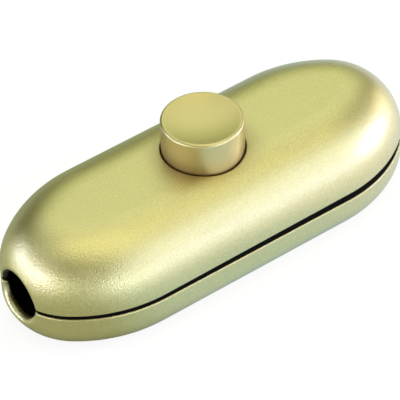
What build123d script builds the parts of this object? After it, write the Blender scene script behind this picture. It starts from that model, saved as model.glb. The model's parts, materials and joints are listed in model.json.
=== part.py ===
from build123d import *
import os
from math import atan2, degrees, sqrt

# Inline cord switch: a two-shell moulded housing with a push button on top, and inside it a
# rotary push-push contact, terminals for both cord ends and two cord clamps.
# Millimetres, +Z up. X runs along the body with the near end at -X. The origin lies in the
# middle of the underside.

# Housing form
body_length = 68.0
body_width = 26.5
end_reach = 17.3  # length of each rounded end along X
tip_radius = 11.0  # plan radius at the very end
base_height = 7.15  # underside to the middle of the seam
base_upright = 2.65  # upright band of the base below the seam
cover_height = 9.95  # middle of the seam to the flat top
cover_upright = 0.95  # upright band of the cover above the seam
wall = 1.8
floor_thickness = 1.8

# Seam: the cover stands a little further open at the far end
seam_gap_near = 0.6
seam_gap_far = 1.5
rim_round = 0.2
tongue_thickness = 0.8
tongue_rise = 1.5
tongue_clearance = 0.15

# Cord inlets
inlet_diameter = 7.4
inlet_rise = 0.05  # inlet axis above the middle of the seam
inlet_round = 0.7

# Push button
button_diameter = 12.2
button_draft = 0.03  # extra radius at the flange
button_rise = 5.6
button_wall = 1.5
button_cap = 1.5
dish_depth = 0.9
button_edge = 0.42
opening_clearance = 0.15  # around the barrel
opening_round = 0.15
flange_width = 1.0
flange_thickness = 1.0
flange_gap = 0.05  # up to its seat under the roof
guide_clearance = 0.2
guide_wall = 1.2
key_width = 2.0
key_depth = 0.9
key_clearance = 0.2
travel = 3.0
stop_gap = 0.1

# Rotor and its drive
index_angle = 45.0  # turn of the rotor over the full press
prong_angle = 15.0
prong_play = 1.0  # degrees off each side of a prong
prong_count = 4
drive_gap = 0.1
drive_step = 0.1  # foot of each ramp above the disc
disc_margin = 0.15  # rim of the disc outside the ramps
drive_inner = 3.2
drive_width = 1.6
prong_margin = 0.1
disc_thickness = 1.2  # above the contact bridge
slot_depth = 0.35
hub_radius = 1.95
hub_height = 1.5
axle_radius = 1.5
axle_clearance = 0.06
axle_reach = 4.0  # axle above the rotor disc
step_margin = 0.7
step_gap = 0.05

# Return spring
spring_radius = 2.4
wire_radius = 0.25
spring_turns = 6.5
wire_sides = 8
nub_height = 1.6
nub_clearance = 0.25

# Contacts
strip_thickness = 0.5
strip_width = 2.4
strip_clearance = 0.1
tip_height = 0.4
tip_size = 0.9
rivet_radius = 0.5
contact_radius = 3.7
contact_gap = 0.05
bridge_thickness = 0.5
bridge_width = 2.4
bridge_eye = 1.0  # width of the ring around the axle
bridge_clearance = 0.05

# Carrier
carrier_thickness = 1.8
carrier_margin = 0.25  # from the rounding of the floor
carrier_corner = 2.0
chamber_gap = 0.5
chamber_wall = 1.0
barrier_width = 1.2
barrier_height = 5.6
peg_radius = 0.9
peg_clearance = 0.1

# Terminals
block_length = 4.6
block_width = 4.4
block_height = 5.6
block_edge = 0.3
wire_bore = 2.6
wire_rise = 2.2  # bore axis above the foot of the block
link_thickness = 0.6
link_height = 3.0
link_rise = 0.6
link_margin = 0.7  # to the edge of the carrier
link_clearance = 0.3
terminal_thread = 2.5
terminal_head = 3.8
terminal_head_height = 1.5
terminal_head_gap = 0.8
thread_gap = 0.05

# Housing screws, from below
pillar_spacing = 4.6  # from pillar to cord clamp
pillar_radius = 2.6
pillar_top = 8.9
boss_radius = 2.3
boss_gap = 0.1
screw_thread = 2.2
screw_hole = 3.2
screw_head = 5.0
screw_sink = 0.15
screw_length = 12.8
pilot_spare = 0.8

# Cord clamps
clamp_inset = 11.2  # from the end of the body
clamp_length = 3.4
clamp_thickness = 1.8
clamp_grip = 0.5  # how far the arch closes in on the inlet radius
clamp_rise = 1.3  # foot of the clamp above the inlet axis
saddle_grip = 0.1
saddle_drop = 0.6
clamp_boss_radius = 2.0
clamp_boss_gap = 0.7
clamp_foot = 2.0
clamp_hole = 2.9
clamp_head = 4.0
clamp_head_height = 1.7
clamp_screw_length = 7.0
clamp_head_clearance = 0.3

# Screw slots
slot_width = 0.6
slot_cut = 0.6

# Derived sizes of the housing
half_width = body_width / 2
straight_half = body_length / 2 - end_reach
tip_centre = body_length / 2 - tip_radius
shoulder_rise = half_width - tip_radius
shoulder_radius = (end_reach**2 + half_width**2 - 2 * end_reach * tip_radius) / (2 * shoulder_rise)
shoulder_turn = degrees(atan2(end_reach - tip_radius, shoulder_radius - half_width))
cover_roll = cover_height - cover_upright
base_round = base_height - base_upright
top = base_height + cover_height
inlet_axis = base_height + inlet_rise
inlet_radius = inlet_diameter / 2

# Derived sizes of the mechanism, from the floor upwards
carrier_top = floor_thickness + carrier_thickness
tip_top = carrier_top + tip_height
bridge_bottom = tip_top + contact_gap + tip_height
bridge_top = bridge_bottom + bridge_thickness
rotor_bottom = bridge_top - slot_depth
disc_top = bridge_top + disc_thickness
drive_outer = drive_inner + drive_width
drive_radius = drive_inner + drive_width / 2
disc_radius = drive_outer + disc_margin
drive_lead = travel * 360 / index_angle
drive_climb = drive_lead * (index_angle + prong_angle) / 360
axle_top = disc_top + axle_reach

# Derived sizes of the button
barrel_radius = button_diameter / 2
barrel_foot = barrel_radius + button_draft
barrel_bore = barrel_radius - button_wall
button_top = top + button_rise
button_ceiling = button_top - dish_depth - button_cap
flange_radius = barrel_foot + flange_width
flange_seat = top - wall
flange_top = flange_seat - flange_gap
flange_bottom = flange_top - flange_thickness
guide_radius = flange_radius + guide_clearance
collar_radius = guide_radius + guide_wall
collar_bottom = flange_bottom - travel - 4 * stop_gap
chamber_radius = disc_radius + chamber_gap
chamber_top = flange_bottom - travel - stop_gap

# Derived places along and across the body
clamp_x = body_length / 2 - clamp_inset
pillar_x = clamp_x - pillar_spacing
carrier_half_width = half_width - base_round - carrier_margin
carrier_half_length = pillar_x - pillar_radius - carrier_margin
terminal_x = carrier_half_length - block_length / 2 - carrier_margin
terminal_y = carrier_half_width - link_margin - link_thickness - block_width / 2
link_y = terminal_y + block_width / 2
link_half_length = terminal_x + block_length / 2
clamp_screw_y = inlet_radius + clamp_boss_gap + clamp_boss_radius
clamp_seat = inlet_axis + clamp_rise
clamp_head_seat = clamp_seat + clamp_thickness
strip_turn = terminal_x - block_length / 2 - strip_width / 2
peg_x = strip_turn - strip_width / 2 - strip_clearance - 2 * peg_radius
peg_y = carrier_half_width - link_margin - peg_radius
pillar_points = [(pillar_x, 0), (-pillar_x, 0)]
clamp_points = [
    (end * clamp_x, side * clamp_screw_y) for end in (1, -1) for side in (1, -1)
]
terminal_points = [
    (end * terminal_x, side * terminal_y) for end in (1, -1) for side in (1, -1)
]

os.makedirs("parts", exist_ok=True)


def body_outline(inset, height):
    """Plan of the body, drawn in by an inset: straight sides and three-arc ends."""
    side = half_width - inset
    shoulder_y = half_width - shoulder_radius
    with BuildSketch(Plane.XY.offset(height)) as outline:
        with BuildLine():
            Line((-straight_half, side), (straight_half, side))
            left = CenterArc(
                (straight_half, shoulder_y),
                shoulder_radius - inset,
                90 - shoulder_turn,
                shoulder_turn,
            )
            nose = CenterArc(
                (tip_centre, 0), tip_radius - inset, shoulder_turn - 90, 180 - 2 * shoulder_turn
            )
            right = CenterArc(
                (straight_half, -shoulder_y), shoulder_radius - inset, -90, shoulder_turn
            )
            mirror([left, nose, right], about=Plane.YZ)
            Line((-straight_half, -side), (straight_half, -side))
        make_face()
    return outline.sketch


def ring_sector(inner, outer, start, span, height):
    """Sector of a flat ring about the Z axis."""
    with BuildSketch(Plane.XY.offset(height)) as sector:
        with BuildLine():
            far = CenterArc((0, 0), outer, start, span)
            near = CenterArc((0, 0), inner, start, span)
            Line(far @ 0, near @ 0)
            Line(far @ 1, near @ 1)
        make_face()
    return sector.sketch


def helical_ramp(inner, outer):
    """Tooth with a helical upper face that climbs from z = 0 over the drive angle."""
    depth = drive_climb + 2 * step_margin
    with BuildPart() as ramp:
        with BuildLine() as climb:
            Helix(drive_lead, drive_climb, drive_radius)
        with BuildSketch(Plane.XZ):
            with Locations(((inner + outer) / 2, -depth / 2)):
                Rectangle(outer - inner, depth)
        sweep(path=climb.line, is_frenet=True)
        split(bisect_by=Plane.XY.offset(-step_margin), keep=Keep.TOP)
    return ramp.part


def live_strip_outline(end, grow, height):
    """Flat strip from the contact under the rotor out to its terminal block."""
    wide = strip_width + 2 * grow
    outer = terminal_x + block_length / 2 + grow
    with BuildSketch(Plane.XY.offset(height)) as strip:
        with Locations((end * contact_radius, 0), (end * strip_turn, 0)):
            Circle(wide / 2)
        with Locations((end * strip_turn, -terminal_y)):
            Circle(wide / 2)
        with Locations((end * (contact_radius + strip_turn) / 2, 0)):
            Rectangle(strip_turn - contact_radius, wide)
        with Locations((end * strip_turn, -terminal_y / 2)):
            Rectangle(wide, terminal_y)
        with Locations((end * (strip_turn + outer) / 2, -terminal_y)):
            Rectangle(outer - strip_turn, wide)
    return strip.sketch


def inlet_mouths(form):
    """Edges where the cord inlets leave the two ends of a half body."""
    bores = form.faces().filter_by(GeomType.CYLINDER).filter_by(
        lambda f: f.bounding_box().size.X > body_length / 2
        and f.bounding_box().size.Y < 1.1 * inlet_diameter
    )
    return [e for e in bores.edges() if e.bounding_box().size.Y > inlet_radius]


def rim_edges(form):
    """Edges of the two rim faces that the inlets leave on a half body."""
    rims = form.faces().filter_by(GeomType.PLANE).filter_by(
        lambda f: abs(f.center().Z - base_height) < seam_gap_far and abs(f.normal_at().Z) > 0.9
    )
    return rims.edges()


# Wedge of air between the two shells, wider at the far end
with BuildPart() as seam_wedge:
    with BuildSketch(Plane.XZ):
        with BuildLine():
            Polyline(
                (-body_length / 2, base_height - seam_gap_near / 2),
                (body_length / 2, base_height - seam_gap_far / 2),
                (body_length / 2, base_height + seam_gap_far / 2),
                (-body_length / 2, base_height + seam_gap_near / 2),
                close=True,
            )
        make_face()
    extrude(amount=body_width, both=True)

# Cover: outer form and the core that hollows it
with BuildPart() as cover_form:
    extrude(body_outline(0, base_height), amount=cover_height)
    fillet(cover_form.faces().sort_by(Axis.Z)[-1].edges(), cover_roll)
    with Locations((0, 0, inlet_axis)):
        Cylinder(inlet_radius, body_length, rotation=(0, 90, 0), mode=Mode.SUBTRACT)
    fillet(inlet_mouths(cover_form), inlet_round)
    add(seam_wedge.part, mode=Mode.SUBTRACT)
    fillet(rim_edges(cover_form), rim_round)

with BuildPart() as cover_core:
    extrude(body_outline(wall, base_height), amount=cover_height - wall)
    fillet(cover_core.faces().sort_by(Axis.Z)[-1].edges(), cover_roll - wall)

# Cover: guide collar for the button and bosses for the housing screws
with BuildPart() as cover_fittings:
    with BuildSketch(Plane.XY.offset(collar_bottom)):
        Circle(collar_radius)
    extrude(amount=top - collar_bottom)
    with BuildSketch(Plane.XY.offset(pillar_top + boss_gap)):
        with Locations(*pillar_points):
            Circle(boss_radius)
    extrude(amount=top - pillar_top - boss_gap)
    add(cover_form.part, mode=Mode.INTERSECT)

with BuildPart() as upper_shell:
    add(cover_form.part)
    add(cover_core.part, mode=Mode.SUBTRACT)
    # Rebate that takes the tongue of the base
    extrude(
        body_outline(wall - tongue_thickness - tongue_clearance, base_height),
        amount=tongue_rise + tongue_clearance,
        mode=Mode.SUBTRACT,
    )
    add(cover_fittings.part)
    # Guide bore, seat for the flange and opening for the barrel
    with Locations((0, 0, collar_bottom)):
        Cylinder(
            guide_radius,
            flange_seat - collar_bottom,
            align=(Align.CENTER, Align.CENTER, Align.MIN),
            mode=Mode.SUBTRACT,
        )
        Cylinder(
            barrel_foot + opening_clearance,
            top - collar_bottom,
            align=(Align.CENTER, Align.CENTER, Align.MIN),
            mode=Mode.SUBTRACT,
        )
        Box(
            2 * (flange_radius + key_depth + key_clearance),
            key_width + 2 * key_clearance,
            flange_seat - collar_bottom,
            align=(Align.CENTER, Align.CENTER, Align.MIN),
            mode=Mode.SUBTRACT,
        )
    # Eased edge of the opening
    opening_edge = (
        upper_shell.edges().group_by(Axis.Z)[-1].filter_by(GeomType.CIRCLE).sort_by(SortBy.LENGTH)[-1]
    )
    fillet(opening_edge, opening_round)
    # Room for the heads of the clamp screws
    with Locations(*[(x, y, clamp_head_seat) for x, y in clamp_points]):
        Cylinder(
            clamp_head / 2 + clamp_head_clearance,
            clamp_head_height + clamp_head_clearance,
            align=(Align.CENTER, Align.CENTER, Align.MIN),
            mode=Mode.SUBTRACT,
        )
    # Pilot holes for the housing screws
    with Locations(*[(x, y, pillar_top) for x, y in pillar_points]):
        Cylinder(
            screw_thread / 2 + thread_gap,
            screw_sink + screw_length - pillar_top + pilot_spare,
            align=(Align.CENTER, Align.CENTER, Align.MIN),
            mode=Mode.SUBTRACT,
        )

# Base: outer form and the core that hollows it
with BuildPart() as base_form:
    extrude(body_outline(0, 0), amount=base_height)
    fillet(base_form.faces().sort_by(Axis.Z)[0].edges(), base_round)
    with Locations((0, 0, inlet_axis)):
        Cylinder(inlet_radius, body_length, rotation=(0, 90, 0), mode=Mode.SUBTRACT)
    fillet(inlet_mouths(base_form), inlet_round)
    add(seam_wedge.part, mode=Mode.SUBTRACT)
    fillet(rim_edges(base_form), rim_round)

with BuildPart() as base_core:
    extrude(body_outline(wall, floor_thickness), amount=base_height - floor_thickness)
    fillet(base_core.faces().sort_by(Axis.Z)[0].edges(), base_round - wall)

with BuildPart() as seam_tongue:
    tongue_foot = base_height - 2 * seam_gap_far
    extrude(
        body_outline(wall - tongue_thickness, tongue_foot),
        amount=base_height + tongue_rise - tongue_foot,
    )
    extrude(
        body_outline(wall, tongue_foot),
        amount=base_height + tongue_rise - tongue_foot,
        mode=Mode.SUBTRACT,
    )
    with Locations((0, 0, inlet_axis)):
        Cylinder(inlet_radius, body_length, rotation=(0, 90, 0), mode=Mode.SUBTRACT)

# Base: screw pillars, clamp bosses with cord saddles, and pegs for the carrier
with BuildPart() as base_fittings:
    with BuildSketch(Plane.XY.offset(floor_thickness / 2)):
        with Locations(*pillar_points):
            Circle(pillar_radius)
    extrude(amount=pillar_top - floor_thickness / 2)
    with BuildSketch(Plane.XY.offset(floor_thickness / 2)):
        with Locations(*clamp_points):
            Circle(clamp_boss_radius)
    extrude(amount=clamp_seat - floor_thickness / 2)
    with BuildSketch(Plane.XY.offset(floor_thickness / 2)):
        with Locations((clamp_x, 0), (-clamp_x, 0)):
            Rectangle(clamp_length, 2 * clamp_screw_y)
    extrude(amount=inlet_axis - saddle_drop - floor_thickness / 2)
    with BuildSketch(Plane.XY.offset(floor_thickness / 2)):
        with Locations((peg_x, -peg_y), (-peg_x, peg_y)):
            Circle(peg_radius)
    extrude(amount=carrier_top - peg_clearance - floor_thickness / 2)
    for end in (1, -1):
        with Locations((end * clamp_x, 0, inlet_axis)):
            Cylinder(
                inlet_radius - saddle_grip,
                clamp_length,
                rotation=(0, 90, 0),
                mode=Mode.SUBTRACT,
            )

with BuildPart() as lower_shell:
    add(base_form.part)
    add(base_core.part, mode=Mode.SUBTRACT)
    add(seam_tongue.part)
    add(base_fittings.part)
    # Countersunk holes for the housing screws
    with Locations(*[Location((x, y, 0), (180, 0, 0)) for x, y in pillar_points]):
        CounterSinkHole(
            screw_hole / 2, screw_head / 2 + screw_sink, depth=pillar_top, counter_sink_angle=90
        )
    # Pilot holes for the clamp screws
    with Locations(*[(x, y, clamp_seat) for x, y in clamp_points]):
        Cylinder(
            screw_thread / 2 + thread_gap,
            clamp_screw_length - clamp_thickness + pilot_spare / 2,
            align=(Align.CENTER, Align.CENTER, Align.MAX),
            mode=Mode.SUBTRACT,
        )

# Push button: dished cap, barrel, flange with two keys and four drive prongs
prong_low = disc_top + drive_step + drive_gap + drive_lead * (index_angle - prong_angle) / 360
with BuildPart() as push_button:
    dish_radius = (barrel_radius**2 + dish_depth**2) / (2 * dish_depth)
    dish_middle = button_top - dish_depth + dish_radius - sqrt(dish_radius**2 - barrel_radius**2 / 4)
    with BuildSketch(Plane.XZ) as profile:
        with BuildLine():
            ThreePointArc(
                (0, button_top - dish_depth),
                (barrel_radius / 2, dish_middle),
                (barrel_radius, button_top),
            )
            Polyline(
                (barrel_radius, button_top),
                (barrel_foot, flange_top),
                (flange_radius, flange_top),
                (flange_radius, flange_bottom),
                (barrel_bore, flange_bottom),
                (barrel_bore, button_ceiling),
                (0, button_ceiling),
                (0, button_top - dish_depth),
            )
        make_face()
        fillet(profile.vertices().sort_by(Axis.Y)[-1], button_edge)
    revolve(axis=Axis.Z)
    # Keys that run in the slots of the collar
    with BuildSketch(Plane.XY.offset(flange_bottom)):
        Rectangle(2 * (flange_radius + key_depth), key_width)
        Circle(barrel_bore, mode=Mode.SUBTRACT)
    extrude(amount=flange_thickness)
    # Nub that centres the spring
    with BuildSketch(Plane.XY.offset(button_ceiling)):
        Circle(spring_radius - wire_radius - nub_clearance)
    extrude(amount=-nub_height)
    # Drive prongs with helical ends
    for k in range(prong_count):
        start = k * 360 / prong_count + index_angle - prong_angle + prong_play
        extrude(
            ring_sector(
                drive_inner + prong_margin,
                drive_outer - prong_margin,
                start,
                prong_angle - 2 * prong_play,
                prong_low,
            ),
            amount=button_ceiling - prong_low,
        )
    with Locations((0, 0, disc_top + drive_step + drive_gap)):
        with PolarLocations(0, prong_count, start_angle=-prong_angle):
            add(
                helical_ramp(drive_inner - prong_margin, drive_outer + prong_margin),
                mode=Mode.SUBTRACT,
            )

# Ratchet rotor: disc with four helical ramps, hub and a slot that takes the bridge
with BuildPart() as ratchet_rotor:
    with BuildSketch(Plane.XY.offset(rotor_bottom)):
        Circle(disc_radius)
    extrude(amount=disc_top - rotor_bottom)
    with BuildSketch(Plane.XY.offset(disc_top)):
        Circle(hub_radius)
    extrude(amount=hub_height)
    with Locations((0, 0, disc_top + drive_step)):
        with PolarLocations(0, prong_count, start_angle=-prong_angle):
            add(helical_ramp(drive_inner, drive_outer))
    with Locations((0, 0, rotor_bottom)):
        Box(
            bridge_width + 2 * bridge_clearance,
            2 * disc_radius,
            slot_depth,
            align=(Align.CENTER, Align.CENTER, Align.MIN),
            mode=Mode.SUBTRACT,
        )
        Cylinder(
            axle_radius + axle_clearance + bridge_eye + bridge_clearance,
            slot_depth,
            align=(Align.CENTER, Align.CENTER, Align.MIN),
            mode=Mode.SUBTRACT,
        )
        Cylinder(
            axle_radius + axle_clearance,
            drive_climb + hub_height,
            align=(Align.CENTER, Align.CENTER, Align.MIN),
            mode=Mode.SUBTRACT,
        )

# Contact bridge: flat bar under the rotor, across the body at rest
with BuildPart() as contact_bridge:
    with BuildSketch(Plane.XY.offset(bridge_bottom)):
        SlotOverall(2 * drive_outer, bridge_width, rotation=90)
        Circle(axle_radius + axle_clearance + bridge_eye)
        Circle(axle_radius + axle_clearance, mode=Mode.SUBTRACT)
        with Locations((0, contact_radius), (0, -contact_radius)):
            Circle(rivet_radius, mode=Mode.SUBTRACT)
    extrude(amount=bridge_thickness)

# Silver tips riveted into the bridge
with BuildPart() as bridge_tips:
    with BuildSketch(Plane.XY.offset(bridge_bottom - tip_height)):
        with Locations((0, contact_radius), (0, -contact_radius)):
            Circle(tip_size)
    extrude(amount=tip_height)
    with BuildSketch(Plane.XY.offset(bridge_bottom)):
        with Locations((0, contact_radius), (0, -contact_radius)):
            Circle(rivet_radius)
    extrude(amount=bridge_thickness)

# Return spring between the rotor disc and the cap of the button, ends ground flat
with BuildPart() as return_spring:
    spring_length = button_ceiling - disc_top
    with BuildLine(Plane.XY.offset(disc_top)) as coil:
        Helix(spring_length / spring_turns, spring_length, spring_radius)
    with BuildSketch(Plane(origin=coil.line @ 0, z_dir=coil.line % 0)):
        RegularPolygon(wire_radius, wire_sides)
    sweep(path=coil.line, is_frenet=True)
    split(bisect_by=Plane.XY.offset(disc_top), keep=Keep.TOP)
    split(bisect_by=Plane.XY.offset(button_ceiling), keep=Keep.BOTTOM)

# Switch carrier: insulating plate with axle, contact chamber and barriers
with BuildPart() as switch_carrier:
    with BuildSketch(Plane.XY.offset(floor_thickness)):
        RectangleRounded(2 * carrier_half_length, 2 * carrier_half_width, carrier_corner)
        with Locations((peg_x, -peg_y), (-peg_x, peg_y)):
            Circle(peg_radius + peg_clearance, mode=Mode.SUBTRACT)
    extrude(amount=carrier_thickness)
    for end in (1, -1):
        extrude(
            live_strip_outline(end, strip_clearance, carrier_top - strip_thickness),
            amount=strip_thickness,
            mode=Mode.SUBTRACT,
        )
    with BuildSketch(Plane.XY.offset(carrier_top)):
        Circle(chamber_radius + chamber_wall)
        Circle(chamber_radius, mode=Mode.SUBTRACT)
    extrude(amount=chamber_top - carrier_top)
    # The neutral link passes clear of the chamber wall
    with Locations((0, link_y - link_clearance, carrier_top + link_rise - link_clearance)):
        Box(
            2 * link_half_length,
            link_thickness + 2 * link_clearance,
            link_height + 2 * link_clearance,
            align=(Align.CENTER, Align.MIN, Align.MIN),
            mode=Mode.SUBTRACT,
        )
    with BuildSketch(Plane.XY.offset(carrier_top)):
        barrier_start = strip_turn + strip_width / 2 + strip_clearance
        barrier_end = carrier_half_length
        with Locations(
            ((barrier_start + barrier_end) / 2, 0), (-(barrier_start + barrier_end) / 2, 0)
        ):
            Rectangle(barrier_end - barrier_start, barrier_width)
    extrude(amount=barrier_height)
    with BuildSketch(Plane.XY.offset(carrier_top)):
        Circle(axle_radius + step_margin)
    extrude(amount=bridge_bottom - step_gap - carrier_top)
    with BuildSketch(Plane.XY.offset(carrier_top)):
        Circle(axle_radius)
    extrude(amount=axle_top - carrier_top)
    chamfer(
        switch_carrier.edges().filter_by(GeomType.CIRCLE).filter_by(
            lambda e: e.radius < axle_radius + axle_clearance
        ).sort_by(Axis.Z)[-1],
        axle_radius / 4,
    )

# Live strips, one to each side of the contact bridge
with BuildPart() as live_strip_near:
    extrude(live_strip_outline(-1, 0, carrier_top - strip_thickness), amount=strip_thickness)
    with Locations((-contact_radius, 0, carrier_top)):
        Hole(rivet_radius)

with BuildPart() as live_strip_far:
    extrude(live_strip_outline(1, 0, carrier_top - strip_thickness), amount=strip_thickness)
    with Locations((contact_radius, 0, carrier_top)):
        Hole(rivet_radius)

# Silver tips riveted into the live strips
with BuildPart() as fixed_tips:
    with BuildSketch(Plane.XY.offset(carrier_top)):
        with Locations((contact_radius, 0), (-contact_radius, 0)):
            Circle(tip_size)
    extrude(amount=tip_height)
    with BuildSketch(Plane.XY.offset(carrier_top - strip_thickness)):
        with Locations((contact_radius, 0), (-contact_radius, 0)):
            Circle(rivet_radius)
    extrude(amount=strip_thickness)

# Neutral link: strip on edge along the outer sides of the two neutral blocks
with BuildPart() as neutral_link:
    with Locations((0, link_y, carrier_top + link_rise)):
        Box(
            2 * link_half_length,
            link_thickness,
            link_height,
            align=(Align.CENTER, Align.MIN, Align.MIN),
        )

# Terminal blocks: wire bore along X, screw from above
terminal_blocks = {}
for name, end, side in (
    ("live_terminal_near", -1, -1),
    ("live_terminal_far", 1, -1),
    ("neutral_terminal_near", -1, 1),
    ("neutral_terminal_far", 1, 1),
):
    with BuildPart() as block:
        with Locations((end * terminal_x, side * terminal_y, carrier_top)):
            Box(
                block_length,
                block_width,
                block_height,
                align=(Align.CENTER, Align.CENTER, Align.MIN),
            )
        chamfer(block.faces().sort_by(Axis.Z)[-1].edges(), block_edge)
        with Locations((end * terminal_x, side * terminal_y, carrier_top + wire_rise)):
            Cylinder(wire_bore / 2, block_length, rotation=(0, 90, 0), mode=Mode.SUBTRACT)
            Cylinder(
                terminal_thread / 2,
                block_height - wire_rise,
                align=(Align.CENTER, Align.CENTER, Align.MIN),
                mode=Mode.SUBTRACT,
            )
    terminal_blocks[name] = block.part

# Terminal screws, backed off to leave the wire bores open
block_top = carrier_top + block_height
terminal_head_seat = block_top + terminal_head_gap
with BuildPart() as terminal_screws:
    with BuildSketch(Plane.XY.offset(carrier_top + wire_rise + wire_bore / 2)):
        with Locations(*terminal_points):
            Circle(terminal_thread / 2 - thread_gap)
    extrude(amount=terminal_head_seat - carrier_top - wire_rise - wire_bore / 2)
    with BuildSketch(Plane.XY.offset(terminal_head_seat)):
        with Locations(*terminal_points):
            Circle(terminal_head / 2)
    extrude(amount=terminal_head_height)
    chamfer(terminal_screws.edges().group_by(Axis.Z)[-1], block_edge)
    with Locations(*[(x, y, terminal_head_seat + terminal_head_height) for x, y in terminal_points]):
        Box(
            terminal_head,
            slot_width,
            slot_cut,
            align=(Align.CENTER, Align.CENTER, Align.MAX),
            mode=Mode.SUBTRACT,
        )

# Cord clamps: arched bars over the cord, screwed down on the bosses of the base
clamps = {}
for name, end in (("cord_clamp_near", -1), ("cord_clamp_far", 1)):
    with BuildPart() as clamp:
        with BuildSketch(Plane.YZ.offset(end * clamp_x)):
            arch = inlet_radius - clamp_grip
            with Locations((0, clamp_seat)):
                Rectangle(
                    2 * (clamp_screw_y + clamp_foot),
                    clamp_thickness,
                    align=(Align.CENTER, Align.MIN),
                )
            with Locations((0, inlet_axis)):
                Circle(arch + clamp_thickness)
                Circle(arch, mode=Mode.SUBTRACT)
            with Locations((0, clamp_seat)):
                Rectangle(
                    2 * body_width,
                    2 * inlet_diameter,
                    align=(Align.CENTER, Align.MAX),
                    mode=Mode.SUBTRACT,
                )
        extrude(amount=clamp_length / 2, both=True)
        with Locations(
            (end * clamp_x, clamp_screw_y, clamp_seat + clamp_thickness),
            (end * clamp_x, -clamp_screw_y, clamp_seat + clamp_thickness),
        ):
            Hole(clamp_hole / 2)
    clamps[name] = clamp.part

with BuildPart() as clamp_screws:
    with BuildSketch(Plane.XY.offset(clamp_head_seat)):
        with Locations(*clamp_points):
            Circle(screw_thread / 2)
    extrude(amount=-clamp_screw_length)
    with BuildSketch(Plane.XY.offset(clamp_head_seat)):
        with Locations(*clamp_points):
            Circle(clamp_head / 2)
    extrude(amount=clamp_head_height)
    chamfer(clamp_screws.edges().group_by(Axis.Z)[-1], clamp_head_height / 3)
    with Locations(*[(x, y, clamp_head_seat + clamp_head_height) for x, y in clamp_points]):
        Box(
            clamp_head,
            slot_width,
            slot_cut,
            align=(Align.CENTER, Align.CENTER, Align.MAX),
            mode=Mode.SUBTRACT,
        )

# Housing screws: countersunk, driven from below into the bosses of the cover
with BuildPart() as housing_screw:
    head_cone = (screw_head - screw_thread) / 2
    with BuildSketch(Plane.XZ):
        with BuildLine():
            Polyline(
                (0, screw_sink),
                (screw_head / 2 - thread_gap, screw_sink),
                (screw_thread / 2, screw_sink + head_cone - thread_gap),
                (screw_thread / 2, screw_sink + screw_length - screw_thread / 2),
                (0, screw_sink + screw_length),
                close=True,
            )
        make_face()
    revolve(axis=Axis.Z)
    with Locations((0, 0, screw_sink)):
        Box(
            screw_head,
            slot_width,
            slot_cut,
            align=(Align.CENTER, Align.CENTER, Align.MIN),
            mode=Mode.SUBTRACT,
        )

with BuildPart() as housing_screws:
    with Locations(*pillar_points):
        add(housing_screw.part)

pieces = {
    "upper_shell": upper_shell.part,
    "lower_shell": lower_shell.part,
    "push_button": push_button.part,
    "return_spring": return_spring.part,
    "ratchet_rotor": ratchet_rotor.part,
    "contact_bridge": contact_bridge.part,
    "bridge_tips": bridge_tips.part,
    "switch_carrier": switch_carrier.part,
    "live_strip_near": live_strip_near.part,
    "live_strip_far": live_strip_far.part,
    "fixed_tips": fixed_tips.part,
    "neutral_link": neutral_link.part,
    **terminal_blocks,
    "terminal_screws": terminal_screws.part,
    **clamps,
    "clamp_screws": clamp_screws.part,
    "housing_screws": housing_screws.part,
}
for name, piece in pieces.items():
    piece.label = name
    export_step(piece, f"parts/{name}.step")
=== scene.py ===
import bpy
import json
from math import atan2, cos, hypot, pi, radians, sin
from mathutils import Matrix, Vector


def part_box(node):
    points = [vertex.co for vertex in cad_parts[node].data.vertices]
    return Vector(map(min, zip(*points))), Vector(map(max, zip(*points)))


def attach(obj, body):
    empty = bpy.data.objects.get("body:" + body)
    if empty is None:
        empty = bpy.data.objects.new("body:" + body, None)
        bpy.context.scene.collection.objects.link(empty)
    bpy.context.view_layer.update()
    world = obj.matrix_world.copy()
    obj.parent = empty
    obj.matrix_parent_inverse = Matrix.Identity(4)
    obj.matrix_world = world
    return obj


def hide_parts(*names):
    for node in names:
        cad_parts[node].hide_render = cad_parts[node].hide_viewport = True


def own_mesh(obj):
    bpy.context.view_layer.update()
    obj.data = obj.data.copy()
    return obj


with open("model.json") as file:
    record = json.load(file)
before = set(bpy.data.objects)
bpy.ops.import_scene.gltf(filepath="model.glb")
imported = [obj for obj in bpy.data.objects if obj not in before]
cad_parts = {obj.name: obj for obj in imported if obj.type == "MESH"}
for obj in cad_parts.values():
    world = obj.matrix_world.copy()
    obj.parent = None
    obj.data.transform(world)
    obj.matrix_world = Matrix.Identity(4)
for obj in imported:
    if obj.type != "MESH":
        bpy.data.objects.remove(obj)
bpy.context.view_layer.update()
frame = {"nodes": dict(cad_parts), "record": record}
nodes = frame["nodes"]
record = frame["record"]
scene = bpy.context.scene
scene.view_settings.view_transform = "Standard"

MM = 0.001


def in_mm(metres):
    """A length of the frame in millimetres, to the micron."""
    return round(metres / MM, 3)


def named(rows, name):
    """The first row that has this name."""
    return next(row for row in rows if row["name"] == name)


# Sizes of the housing, in millimetres: the box of the cover gives two, the others are as in the CAD model
cover_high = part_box("upper_shell")[1]
HALF_WIDTH = in_mm(cover_high.y)
COVER_TOP = in_mm(cover_high.z)
COVER_ROLL = 9.0
BASE_ROUND = 4.5
STRAIGHT_HALF = 16.7
TIP_CENTRE = 23.0
TIP_RADIUS = 11.0

# The shoulder arc leaves the straight side and runs into the tip arc without a kink
SHOULDER_REACH = TIP_CENTRE - STRAIGHT_HALF
SHOULDER_RADIUS = (HALF_WIDTH**2 + SHOULDER_REACH**2 - TIP_RADIUS**2) / (2 * (HALF_WIDTH - TIP_RADIUS))
SHOULDER_TURN = atan2(SHOULDER_REACH, SHOULDER_RADIUS - HALF_WIDTH)

# Cord inlets, in millimetres: both are alike
inlet = named(record["mounts"], "cord_inlet_near")
INLET_Z = in_mm(inlet["pos_m"][2])
INLET_RADIUS = inlet["dims"]["r_mm"]
INLET_ROUND = 0.7

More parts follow.
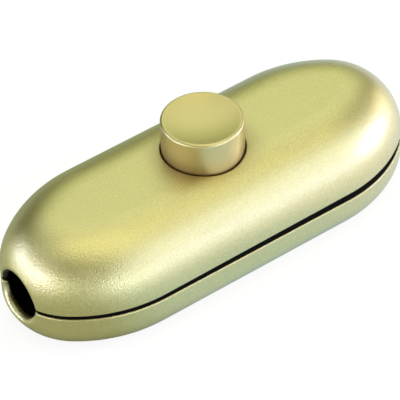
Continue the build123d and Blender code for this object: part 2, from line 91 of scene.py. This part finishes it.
# Return spring, in millimetres
spring_low, spring_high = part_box("return_spring")
WIRE_RADIUS = 0.25
SPRING_LOW = in_mm(spring_low.z)
SPRING_HIGH = in_mm(spring_high.z)
SPRING_RADIUS = in_mm(spring_high.x) - WIRE_RADIUS
SPRING_TURNS = 6.5
SPRING_STEPS = 48  # rings of the mesh per turn
WIRE_SIDES = 12
END_CLOSING = 0.055  # how far the end turns close up, as a share of the height

# Lacquer: where it ends, in millimetres, and the painted shade that darkens it toward brown in corners
LACQUER_DEPTH = 0.2  # faces this close to the outer skin are lacquered
FADE_START = 33.1  # from the middle of the body, along it
FADE_END = 32.3
FADE_REST = 0.01  # share of the lacquer left at the end of the fade
# Painted shade: how far it reaches, how many samples it takes, and its brown tint
PAINTED_SHADE_REACH = 4.0
PAINTED_SHADE_SAMPLES = 8
PAINTED_SHADE_CLOSED, PAINTED_SHADE_OPEN = 0.45, 0.95  # share of open sky over the surface
PAINTED_SHADE_TINT = (0.5, 0.38, 0.15)
WHITE = (1, 1, 1)


# Shader nodes
def add_node(tree, kind, sockets=None, **settings):
    """Adds a node; a socket that is given another node's output is linked, any other is set."""
    made = tree.nodes.new(kind)
    for key, value in settings.items():
        setattr(made, key, value)
    for key, value in (sockets or {}).items():
        if isinstance(value, bpy.types.NodeSocket):
            tree.links.new(value, made.inputs[key])
        else:
            made.inputs[key].default_value = value
    return made


def map_range(tree, value, start, end, low=0.0, high=1.0):
    """Output that runs from low to high while the value runs from start to end, and stays inside."""
    sockets = {"Value": value, "From Min": start, "From Max": end, "To Min": low, "To Max": high}
    return add_node(tree, "ShaderNodeMapRange", sockets).outputs["Result"]


def colour_ramp(tree, value, *stops):
    """Colour that runs through stops, each a place between 0 and 1 and a colour."""
    ramp = add_node(tree, "ShaderNodeValToRGB", {"Fac": value})
    elements = ramp.color_ramp.elements
    for element, (position, colour) in zip(elements, (stops[0], stops[-1])):
        element.position = position
        element.color = (*colour, 1)
    for position, colour in stops[1:-1]:
        elements.new(position).color = (*colour, 1)
    return ramp.outputs["Color"]


def along(tree, vector, direction):
    """How far a vector reaches along a direction."""
    dot = add_node(tree, "ShaderNodeVectorMath", {0: vector, 1: direction}, operation="DOT_PRODUCT")
    return dot.outputs["Value"]


def mix_shaders(tree, share, low, high):
    """The low shader at a share of 0 and the high one at 1."""
    return add_node(tree, "ShaderNodeMixShader", {0: share, 1: low, 2: high}).outputs[0]


def add_shaders(tree, one, other):
    """Both shaders on top of each other."""
    return add_node(tree, "ShaderNodeAddShader", {0: one, 1: other}).outputs[0]


def noise(tree, place, scale, detail):
    """Noise around one half, at a scale per metre."""
    sockets = {"Vector": place, "Scale": scale, "Detail": detail}
    return add_node(tree, "ShaderNodeTexNoise", sockets).outputs["Fac"]


# Materials
SHADED = "shaded"  # the node that holds a material's colour with its grain
TONE_DETAIL, GRAIN_DETAIL = 3, 2
TONE_LOW, TONE_HIGH = 0.3, 0.7  # stretch of the noise over which the colour changes
GRAIN_LOW, GRAIN_HIGH = 0.35, 0.65  # stretch of the noise from hollow to crest


def surface(name, base, metallic, tone, roughness, grain, speckle=0.0, coat=None):
    """Principled material whose tone, roughness and relief vary by noise in object space.

    tone holds the noise's scale per metre and the spread of the colour, roughness a level and its
    spread, grain the noise's scale per metre and its depth in metres, and coat a roughness and an IOR.
    """
    tone_scale, tone_spread = tone
    rough_level, rough_spread = roughness
    grain_scale, grain_depth = grain
    mat = bpy.data.materials.new(name)
    mat.use_nodes = True
    tree = mat.node_tree
    shader = tree.nodes["Principled BSDF"]
    shader.inputs["Metallic"].default_value = metallic
    place = add_node(tree, "ShaderNodeTexCoord").outputs["Object"]
    clouds = noise(tree, place, tone_scale, TONE_DETAIL)
    height = noise(tree, place, grain_scale, GRAIN_DETAIL)
    dark = [c * (1 - tone_spread) for c in base]
    light = [min(c * (1 + tone_spread), 1) for c in base]
    colour = colour_ramp(tree, clouds, (TONE_LOW, dark), (TONE_HIGH, light))
    # The hollows of the grain are darker than its crests
    shade = map_range(tree, height, GRAIN_LOW, GRAIN_HIGH, 1 - speckle, 1 + speckle)
    sockets = {0: colour, "Scale": shade}
    shaded = add_node(tree, "ShaderNodeVectorMath", sockets, name=SHADED, operation="SCALE")
    tree.links.new(shaded.outputs["Vector"], shader.inputs["Base Color"])
    rough = map_range(tree, height, 0, 1, rough_level - rough_spread, rough_level + rough_spread)
    tree.links.new(rough, shader.inputs["Roughness"])
    relief = add_node(tree, "ShaderNodeBump", {"Height": height, "Strength": 1.0, "Distance": grain_depth})
    tree.links.new(relief.outputs["Normal"], shader.inputs["Normal"])
    if coat:
        for key, value in zip(("Coat Weight", "Coat Roughness", "Coat IOR"), (1.0, *coat)):
            shader.inputs[key].default_value = value
        tree.links.new(relief.outputs["Normal"], shader.inputs["Coat Normal"])
    return mat


def retone(mat, operation, socket, value):
    """Scales or multiplies the shaded colour of a material by a value on the way to its shader."""
    tree = mat.node_tree
    sockets = {0: tree.nodes[SHADED].outputs["Vector"], socket: value}
    toned = add_node(tree, "ShaderNodeVectorMath", sockets, operation=operation)
    tree.links.new(toned.outputs["Vector"], tree.nodes["Principled BSDF"].inputs["Base Color"])


def paint_corner_shade(mat):
    """Paints shade into a lacquer: darkens its colour toward a brown tint where another surface stands
    close over it.
    """
    tree = mat.node_tree
    sockets = {"Distance": PAINTED_SHADE_REACH * MM}
    sky = add_node(tree, "ShaderNodeAmbientOcclusion", sockets, samples=PAINTED_SHADE_SAMPLES)
    level = map_range(tree, sky.outputs["AO"], PAINTED_SHADE_CLOSED, PAINTED_SHADE_OPEN)
    retone(mat, "MULTIPLY", 1, colour_ramp(tree, level, (0, PAINTED_SHADE_TINT), (1, WHITE)))


def fade_inward(mat):
    """Lets the colour and the coat of a lacquer die away from the ends of the body inward."""
    tree = mat.node_tree
    place = add_node(tree, "ShaderNodeTexCoord").outputs["Object"]
    parts = add_node(tree, "ShaderNodeSeparateXYZ", {0: place})
    reach = add_node(tree, "ShaderNodeMath", {0: parts.outputs["X"]}, operation="ABSOLUTE")
    level = map_range(tree, reach.outputs[0], FADE_END * MM, FADE_START * MM, FADE_REST)
    retone(mat, "SCALE", "Scale", level)
    tree.links.new(level, tree.nodes["Principled BSDF"].inputs["Coat Weight"])


GOLD = (0.80, 0.67, 0.27)
LOOKS = {
    "gold_lacquer": dict(
        base=GOLD, metallic=1.0, tone=(60, 0.02), roughness=(0.45, 0.03),
        grain=(4200, 0.00005), speckle=0.08, coat=(0.28, 2.2)),
    "button_lacquer": dict(
        base=(0.77, 0.6, 0.23), metallic=1.0, tone=(90, 0.02), roughness=(0.4, 0.02),
        grain=(5200, 0.000006), coat=(0.36, 2.1)),
    "mouth_lacquer": dict(
        base=GOLD, metallic=1.0, tone=(60, 0.02), roughness=(0.45, 0.03),
        grain=(3700, 0.00004), coat=(0.3, 2.8)),
    "black_moulding": dict(
        base=(0.006, 0.006, 0.006), metallic=0.0, tone=(200, 0.1), roughness=(0.6, 0.05),
        grain=(2600, 0.00001)),
    "carrier_plastic": dict(
        base=(0.02, 0.02, 0.02), metallic=0.0, tone=(250, 0.15), roughness=(0.5, 0.06),
        grain=(3000, 0.00001)),
    "clamp_plastic": dict(
        base=(0.025, 0.025, 0.025), metallic=0.0, tone=(250, 0.15), roughness=(0.45, 0.05),
        grain=(3000, 0.00001)),
    "rotor_plastic": dict(
        base=(0.72, 0.70, 0.63), metallic=0.0, tone=(250, 0.04), roughness=(0.38, 0.04),
        grain=(2800, 0.000005)),
    "brass": dict(
        base=(0.75, 0.55, 0.22), metallic=1.0, tone=(400, 0.06), roughness=(0.3, 0.06),
        grain=(3600, 0.000004)),
    "contact_silver": dict(
        base=(0.82, 0.81, 0.78), metallic=1.0, tone=(500, 0.05), roughness=(0.28, 0.05),
        grain=(4000, 0.000003)),
    "screw_steel": dict(
        base=(0.58, 0.58, 0.57), metallic=1.0, tone=(500, 0.05), roughness=(0.32, 0.06),
        grain=(4000, 0.000004)),
    "spring_steel": dict(
        base=(0.42, 0.42, 0.43), metallic=1.0, tone=(600, 0.08), roughness=(0.3, 0.05),
        grain=(4200, 0.000004)),
}
finishes = {name: surface(name, **look) for name, look in LOOKS.items()}
# Painted shade in the corners of both lacquers, most of all around the foot of the button
paint_corner_shade(finishes["gold_lacquer"])
paint_corner_shade(finishes["button_lacquer"])
fade_inward(finishes["mouth_lacquer"])

# Each piece has the finish of its slot in the record
for piece in record["subparts"]:
    mesh = nodes[piece["node"]].data
    mesh.materials.clear()
    mesh.materials.append(finishes[piece["material_slot"]])


# Shells
def inset(x, y):
    """Distance of a plan point from the side of the body, in millimetres."""
    x, y = abs(x), abs(y)
    if x <= STRAIGHT_HALF:
        return HALF_WIDTH - y
    outward, across = x - STRAIGHT_HALF, y + SHOULDER_RADIUS - HALF_WIDTH
    if atan2(outward, across) <= SHOULDER_TURN:
        return SHOULDER_RADIUS - hypot(outward, across)
    return TIP_RADIUS - hypot(x - TIP_CENTRE, y)


def skin_depth(x, y, z, cover):
    """Distance below the outer skin of a shell, in millimetres."""
    side = inset(x, y)
    roll = COVER_ROLL if cover else BASE_ROUND
    rise = z - (COVER_TOP - COVER_ROLL) if cover else BASE_ROUND - z
    if rise <= 0:
        return side
    if side >= roll:
        return roll - rise
    return roll - hypot(roll - side, rise)


def paint_shell(name, cover):
    """Lacquers the outside, leaves rims and inside bare, and lets the lower inlet mouths fade inward."""
    # The lacquer of its slot is there already and comes first
    lacquer, bare, fading = range(3)
    mesh = nodes[name].data
    mesh.materials.append(finishes["black_moulding"])
    mesh.materials.append(finishes["mouth_lacquer"])
    for face in mesh.polygons:
        x, y, z = face.center / MM
        by_inlet = abs(x) > TIP_CENTRE and hypot(y, z - INLET_Z) < INLET_RADIUS + INLET_ROUND
        if by_inlet and not cover:
            face.material_index = fading
        elif skin_depth(x, y, z, cover) < LACQUER_DEPTH:
            face.material_index = lacquer
        else:
            face.material_index = bare


paint_shell("upper_shell", cover=True)
paint_shell("lower_shell", cover=False)


# Return spring
def make_spring():
    """Round wire coil between the rotor and the cap of the button."""
    count = int(SPRING_TURNS * SPRING_STEPS)
    verts, faces = [], []
    low, high = SPRING_LOW + WIRE_RADIUS, SPRING_HIGH - WIRE_RADIUS
    for i in range(count + 1):
        t = i / count
        turn = 2 * pi * SPRING_TURNS * t
        # The end turns close up against their neighbours
        ease = t - END_CLOSING * sin(2 * pi * t)
        z = low + (high - low) * ease
        for k in range(WIRE_SIDES):
            around = 2 * pi * k / WIRE_SIDES
            r = SPRING_RADIUS + WIRE_RADIUS * cos(around)
            verts.append((r * cos(turn) * MM, r * sin(turn) * MM, (z + WIRE_RADIUS * sin(around)) * MM))
    for i in range(count):
        for k in range(WIRE_SIDES):
            a, b = i * WIRE_SIDES + k, i * WIRE_SIDES + (k + 1) % WIRE_SIDES
            faces.append((a, a + WIRE_SIDES, b + WIRE_SIDES, b))
    faces.append(tuple(range(WIRE_SIDES)))
    faces.append(tuple(reversed(range(count * WIRE_SIDES, (count + 1) * WIRE_SIDES))))
    mesh = bpy.data.meshes.new("coil_spring")
    mesh.from_pydata(verts, [], faces)
    mesh.update()
    # The sides of the wire are smooth and its two ends flat
    for face in mesh.polygons:
        face.use_smooth = len(face.vertices) == 4
    mesh.materials.append(finishes["spring_steel"])
    spring = bpy.data.objects.new("coil_spring", mesh)
    scene.collection.objects.link(spring)
    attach(spring, "housing")
    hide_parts("return_spring")
    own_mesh(spring)


make_spring()

# Floor, in metres
FLOOR_HALF = 4.0
FLOOR_DROP = 0.00005  # keeps the floor clear of the underside
FLOOR_GREY = 0.75
SEEN_GREY, SEEN_GLOW = 0.25, 0.85  # toward the camera
MIRRORED_GREY, MIRRORED_GLOW = 0.2, 1.0  # in reflections
GLOW_DIRECTION = (0.82, -0.57, 0)
GLOW_START, GLOW_END = -0.014, 0.045  # along that direction
GLOW_STOPS = [
    (0, (0.21, 0.25, 0.14)),
    (0.25, (0.36, 0.52, 0.57)),
    (0.6, (0.37, 0.53, 0.62)),
    (1, (0.66, 0.72, 0.84)),
]


def make_floor():
    """Pale ground that keeps the soft shadow: near white to the camera, graded in reflections."""
    signs = ((-1, -1), (1, -1), (1, 1), (-1, 1))
    corners = [(x * FLOOR_HALF, y * FLOOR_HALF, -FLOOR_DROP) for x, y in signs]
    mesh = bpy.data.meshes.new("floor")
    mesh.from_pydata(corners, [], [(0, 1, 2, 3)])
    floor = bpy.data.objects.new("floor", mesh)
    scene.collection.objects.link(floor)
    mat = bpy.data.materials.new("floor")
    mat.use_nodes = True
    tree = mat.node_tree
    tree.nodes.remove(tree.nodes["Principled BSDF"])

    def matt(grey):
        return add_node(tree, "ShaderNodeBsdfDiffuse", {"Color": (grey, grey, grey, 1)}).outputs[0]

    def glowing(grey, colour, strength):
        glow = add_node(tree, "ShaderNodeEmission", {"Color": colour, "Strength": strength})
        return add_shaders(tree, matt(grey), glow.outputs[0])

    path = add_node(tree, "ShaderNodeLightPath").outputs
    rays = {0: path["Is Glossy Ray"], 1: path["Is Transmission Ray"]}
    mirrored = add_node(tree, "ShaderNodeMath", rays, operation="MAXIMUM").outputs[0]
    # In reflections the floor brightens toward the front of the far end
    place = add_node(tree, "ShaderNodeTexCoord").outputs["Object"]
    level = map_range(tree, along(tree, place, GLOW_DIRECTION), GLOW_START, GLOW_END)
    graded = glowing(MIRRORED_GREY, colour_ramp(tree, level, *GLOW_STOPS), MIRRORED_GLOW)
    seen = glowing(SEEN_GREY, (*WHITE, 1), SEEN_GLOW)
    unseen = mix_shaders(tree, mirrored, matt(FLOOR_GREY), graded)
    mix = mix_shaders(tree, path["Is Camera Ray"], unseen, seen)
    tree.links.new(mix, tree.nodes["Material Output"].inputs["Surface"])
    mesh.materials.append(mat)


make_floor()

# Soft boxes: turn and rise in degrees, width and height in metres, power in watts, colour
LAMP_DISTANCE = 0.8
LAMP_AIM = Vector((0, 0, 0.008))
LAMPS = {
    "strip_right": (-28, 9, 0.34, 0.2, 2.4, (0.54, 0.62, 1)),
    "strip_middle": (-60, 9, 0.4, 0.2, 0.9, (0.6, 0.67, 1)),
    "strip_front": (-95, 9, 0.46, 0.2, 1.15, (0.8, 0.93, 1)),
    "front_high": (-60, 36, 0.9, 0.3, 1.45, (0.8, 0.93, 1)),
    "left_front": (-148, 14, 0.45, 0.24, 0.7, (0.9, 1, 0.85)),
    "left_mid": (178, 13, 0.45, 0.24, 1.95, (0.72, 0.76, 1)),
    "left_back": (142, 12, 0.45, 0.22, 1.65, (0.68, 0.78, 1)),
    "left_high": (145, 60, 0.7, 0.5, 0.45, (0.82, 1, 0.78)),
    "overhead": (-60, 78, 0.7, 0.7, 1.75, (1, 1, 0.6)),
    "back_high": (58, 50, 0.9, 0.4, 1.0, (0.88, 1, 0.76)),
    "back_mid": (52, 27, 0.8, 0.26, 0.4, (0.8, 1, 0.45)),
    "right_low": (-2, 11, 0.34, 0.2, 0.55, (1, 0.92, 0.65)),
}


def make_lamp(name, turn, rise, width, height, power, colour):
    """Soft box that faces the object from a direction; the camera doesn't see it."""
    turn, rise = radians(turn), radians(rise)
    out = Vector((cos(turn) * cos(rise), sin(turn) * cos(rise), sin(rise)))
    data = bpy.data.lights.new(name, "AREA")
    data.shape = "RECTANGLE"
    data.size = width
    data.size_y = height
    data.energy = power
    data.color = colour
    light = bpy.data.objects.new(name, data)
    light.location = LAMP_AIM + LAMP_DISTANCE * out
    light.rotation_euler = out.to_track_quat("Z", "Y").to_euler()
    light.visible_camera = False
    scene.collection.objects.link(light)


for name, lamp in LAMPS.items():
    make_lamp(name, *lamp)

# Soft fills of the studio: direction, strength and colour
FILLS = {
    "front": ((0, -1, 0), 0.05, WHITE),
    "right": ((1, 0, 0), 0.03, WHITE),
    "back": ((0.74, 0.62, 0.26), 0.1, (1, 1, 0.81)),
    "left": ((-0.85, 0.5, 0.2), 0.05, (0.95, 1, 0.97)),
    "top": ((0, 0, 1), 0.13, (0.86, 1, 0.74)),
}
# Dark patch low at the back of the studio
PATCH_DIRECTION = (0.02, 0.985, 0.17)
PATCH_EDGE, PATCH_CORE = 0.788, 0.97  # closeness to that direction
PATCH_DEPTH = 0.97  # share of the fills that it takes away


def make_world():
    """White to the camera; for everything else soft fills from the sides and from above."""
    world = bpy.data.worlds.new("studio")
    scene.world = world
    world.use_nodes = True
    tree = world.node_tree
    tree.nodes.clear()

    def background(colour, strength):
        sockets = {"Color": (*colour, 1), "Strength": strength}
        return add_node(tree, "ShaderNodeBackground", sockets).outputs[0]

    way = add_node(tree, "ShaderNodeTexCoord").outputs["Generated"]
    total = None
    for direction, strength, colour in FILLS.values():
        fill = background(colour, map_range(tree, along(tree, way, direction), 0, 1, high=strength))
        total = fill if total is None else add_shaders(tree, total, fill)
    patch = map_range(tree, along(tree, way, PATCH_DIRECTION), PATCH_EDGE, PATCH_CORE, high=PATCH_DEPTH)
    dimmed = mix_shaders(tree, patch, total, background(WHITE, 0.0))
    to_camera = add_node(tree, "ShaderNodeLightPath").outputs["Is Camera Ray"]
    mix = mix_shaders(tree, to_camera, dimmed, background(WHITE, 1.0))
    add_node(tree, "ShaderNodeOutputWorld", {"Surface": mix})


make_world()

# Camera: angles in degrees, lengths in metres, and the picture in pixels
CAMERA_TURN, CAMERA_RISE, CAMERA_ROLL = -35.349, 42.581, -2.103
CAMERA_AIM = Vector((0, 0, 0.0074))
CAMERA_DISTANCE = 0.43894
CLIP_NEAR, CLIP_FAR = 0.01, 20
SENSOR_WIDTH = 36  # millimetres
PICTURE = 400
FOCAL_LENGTH = 2990
CENTRE_SHIFT = (-4.855, -3.898)


def make_camera():
    """Looks at the object from where the outlines of body, button and inlet agree with the photo."""
    turn, rise, roll = radians(CAMERA_TURN), radians(CAMERA_RISE), radians(CAMERA_ROLL)
    back = Vector((sin(turn) * cos(rise), -cos(turn) * cos(rise), sin(rise)))
    right = Vector((cos(turn), sin(turn), 0))
    up = back.cross(right)
    right, up = cos(roll) * right + sin(roll) * up, cos(roll) * up - sin(roll) * right
    place = CAMERA_AIM + CAMERA_DISTANCE * back
    data = bpy.data.cameras.new("camera")
    data.sensor_width = SENSOR_WIDTH
    data.lens = SENSOR_WIDTH * FOCAL_LENGTH / PICTURE
    data.shift_x = CENTRE_SHIFT[0] / PICTURE
    data.shift_y = CENTRE_SHIFT[1] / PICTURE
    data.clip_start = CLIP_NEAR
    data.clip_end = CLIP_FAR
    camera = bpy.data.objects.new("camera", data)
    camera.matrix_world = Matrix((
        (right.x, up.x, back.x, place.x),
        (right.y, up.y, back.y, place.y),
        (right.z, up.z, back.z, place.z),
        (0, 0, 0, 1),
    ))
    scene.collection.objects.link(camera)
    scene.camera = camera


make_camera()
